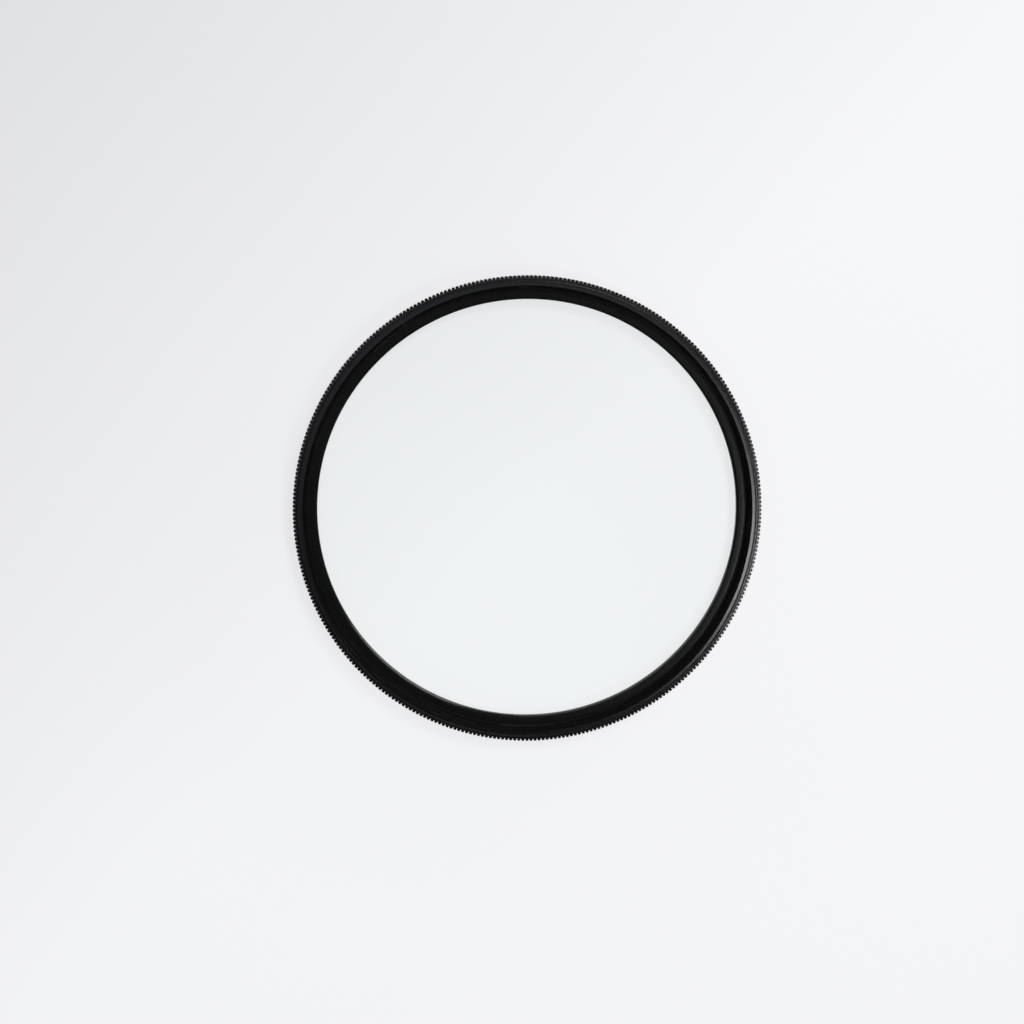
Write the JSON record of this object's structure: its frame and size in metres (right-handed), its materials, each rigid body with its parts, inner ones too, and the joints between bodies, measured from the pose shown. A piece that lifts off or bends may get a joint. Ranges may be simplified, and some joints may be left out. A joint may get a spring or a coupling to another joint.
{
  "type": "ultraviolet lens filter",
  "caption": "Round screw-in ultraviolet lens filter: a knurled black ring with a plain rim holds a clear glass disc under a retaining ring, between front and rear filter threads.",
  "frame": {"origin": "on the optical axis, in the plane of the rear end face that the filter lies on", "axes": "+Z along the optical axis out of the front of the filter, +X to the right and +Y up as the front is seen in the picture"},
  "size_m": [0.07, 0.07, 0.0062],
  "materials": {
    "frame_black": "matt black anodising on turned, fine-blasted aluminium",
    "clear_glass": "polished and anti-reflection coated clear glass with ground edge bevels",
    "ring_black": "matt black anodising on turned aluminium"
  },
  "bodies": {
    "root": {"filter_frame": "frame_black", "glass_disc": "clear_glass", "retaining_ring": "ring_black"}
  },
  "joints": []
}
